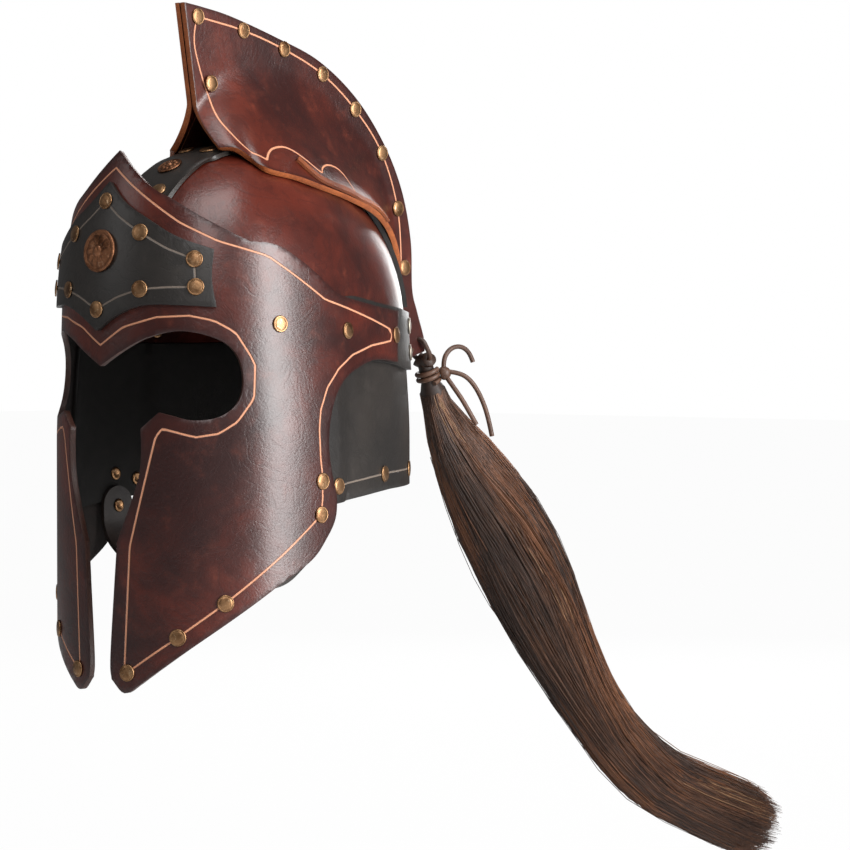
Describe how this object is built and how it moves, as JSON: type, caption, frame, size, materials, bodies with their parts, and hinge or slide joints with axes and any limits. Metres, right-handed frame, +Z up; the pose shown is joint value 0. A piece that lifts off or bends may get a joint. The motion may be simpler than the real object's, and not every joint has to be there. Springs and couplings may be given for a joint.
{
  "type": "costume helmet",
  "caption": "Leather costume helmet with a face mask, brow plate, neck guard, tall riveted crest, hanging horsehair tail and buckled chin strap.",
  "frame": {"origin": "centre of the head space at the level of the temples, where the helmet sits on the head", "axes": "+X to the wearer's left, -Y out of the face, +Z up, +Y towards the tail"},
  "size_m": [0.1898, 0.6943, 0.5883],
  "materials": {
    "red_leather": "waxed, glossy, fine grain",
    "crest_leather": "waxed, glossy, raw edges",
    "black_leather": "waxed, satin",
    "strap_leather": "satin",
    "lace_leather": "satin lace",
    "aged_brass": "aged, satin",
    "buckle_metal": "aged",
    "spacer_leather": "raw",
    "horsehair": "long loose hair"
  },
  "bodies": {
    "helmet": {"face_mask": "red_leather", "skull_cap_left": "red_leather", "skull_cap_right": "red_leather", "crest_left": "crest_leather", "crest_right": "crest_leather", "brow_plate": "black_leather", "crown_strap": "black_leather", "back_strap": "black_leather", "neck_guard": "black_leather", "crest_lace_left": "lace_leather", "crest_lace_right": "lace_leather", "crest_tie_lace": "lace_leather", "back_strap_rivets": "aged_brass", "brow_plate_rivets": "aged_brass", "cheek_rivets": "aged_brass", "chin_rivets": "aged_brass", "crown_strap_rivets": "aged_brass", "neck_guard_rivets": "aged_brass", "rear_edge_rivets": "aged_brass", "side_rivets": "aged_brass", "crest_rivets": "aged_brass", "brow_concho": "aged_brass", "crown_concho": "aged_brass", "chin_spacers": "spacer_leather"},
    "tail_loop_body": {"tail_loop": "lace_leather"},
    "tail": {"ponytail": "horsehair", "tail_winding": "lace_leather", "tail_knot": "lace_leather", "lace_end_short": "lace_leather", "lace_end_long": "lace_leather", "lace_end_middle": "lace_leather"},
    "chin_strap": {"chin_strap_left": "strap_leather", "chin_strap_right": "strap_leather", "chin_strap_rivet": "aged_brass", "buckle_frame": "buckle_metal", "buckle_prong": "buckle_metal", "strap_keeper": "strap_leather"}
  },
  "joints": [
    {"name": "tail_lift", "type": "hinge", "parent": "helmet", "child": "tail_loop_body", "pos_m": [0, 0.159, -0.006], "axis": [1, 0, 0], "range_deg": [0, 60]},
    {"name": "tail_sway", "type": "hinge", "parent": "tail_loop_body", "child": "tail", "pos_m": [0, 0.1651, -0.0144], "axis": [0, 0.8089, 0.5879], "range_deg": [-25, 25]},
    {"name": "chin_strap_swing", "type": "hinge", "parent": "helmet", "child": "chin_strap", "pos_m": [0, -0.0311, -0.11112], "axis": [1, 0, 0], "range_deg": [-25, 25]}
  ]
}
